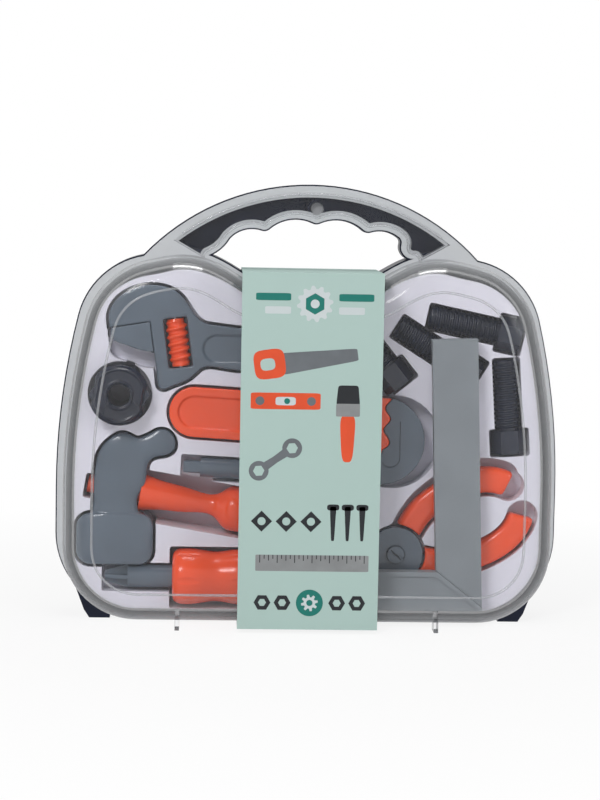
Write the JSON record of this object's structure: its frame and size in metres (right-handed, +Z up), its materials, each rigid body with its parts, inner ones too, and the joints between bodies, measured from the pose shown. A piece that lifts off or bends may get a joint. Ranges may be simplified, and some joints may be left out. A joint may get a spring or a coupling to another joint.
{
  "type": "toy tool box",
  "caption": "Toy carrying case with a clear domed lid over a white tray of toy tools, hinged to a dark rear shell, with a handle and a card band round the middle.",
  "frame": {"origin": "centre of the bounding box in plan, at the level of the feet", "axes": "+X to the viewer's right, +Y to the back, +Z up; the clear lid faces -Y"},
  "size_m": [0.2816, 0.0678, 0.2453],
  "materials": {
    "rear_black": "smooth satin",
    "clear_plastic": "clear, polished",
    "tray_white": "thin formed sheet, soft sheen",
    "card_mint": "printed board with a light coating",
    "tool_orange": "glossy",
    "tool_grey": "satin",
    "square_grey": "fine matt",
    "bolt_black": "satin",
    "pin_steel": "bright drawn wire"
  },
  "bodies": {
    "case_base": {"rear_shell": "rear_black", "tool_tray": "tray_white", "card_back": "card_mint", "square_blade": "square_grey", "square_stock": "square_grey", "bolts": "bolt_black", "nuts": "bolt_black", "wrench_pin": "pin_steel", "hinge_pin_left": "pin_steel", "hinge_pin_right": "pin_steel", "pipe_handle": "tool_orange", "hammer_handle": "tool_orange", "screwdriver_handle": "tool_orange", "pliers_grip_lower": "tool_orange", "wrench_body": "tool_grey", "hammer_head": "tool_grey", "screwdriver_shaft": "tool_grey", "driver_bit": "tool_grey", "pliers_fixed": "tool_grey", "pliers_screw": "tool_grey"},
    "lid": {"front_lid": "clear_plastic", "card_front": "card_mint"},
    "wrench_jaw": {"wrench_jaw": "tool_grey"},
    "wrench_worm": {"wrench_worm": "tool_orange"},
    "pipe_jaw": {"pipe_jaw": "tool_grey"},
    "pipe_nut": {"pipe_nut": "tool_orange"},
    "pliers_arm": {"pliers_moving": "tool_grey", "pliers_grip_upper": "tool_orange"}
  },
  "joints": [
    {"name": "lid_hinge", "type": "hinge", "parent": "case_base", "child": "lid", "pos_m": [0, 0.003, 0.0026], "axis": [1, 0, 0], "range_deg": [0, 160]},
    {"name": "wrench_jaw_slide", "type": "slide", "parent": "case_base", "child": "wrench_jaw", "axis": [0.1323, 0, -0.9912], "range_m": [0, 0.008]},
    {"name": "wrench_worm_spin", "type": "hinge", "parent": "case_base", "child": "wrench_worm", "pos_m": [-0.0734, 0.005, 0.1564], "axis": [0.1323, 0, -0.9912], "range_deg": [0, 686]},
    {"name": "pipe_jaw_slide", "type": "slide", "parent": "case_base", "child": "pipe_jaw", "axis": [0.9983, 0, -0.0576], "range_m": [0, 0.007]},
    {"name": "pipe_nut_spin", "type": "hinge", "parent": "case_base", "child": "pipe_nut", "pos_m": [0.02095, 0.0055, 0.08889], "axis": [0.9983, 0, -0.0576], "range_deg": [0, 631]},
    {"name": "pliers_pivot", "type": "hinge", "parent": "case_base", "child": "pliers_arm", "pos_m": [0.0508, 0.003, 0.0385], "axis": [0, -1, 0], "range_deg": [0, 4.5]}
  ],
  "couplings": [
    {"joint": "wrench_worm_spin", "follows": "wrench_jaw_slide", "rad_per_m": 1496},
    {"joint": "pipe_nut_spin", "follows": "pipe_jaw_slide", "rad_per_m": 1570.8}
  ]
}
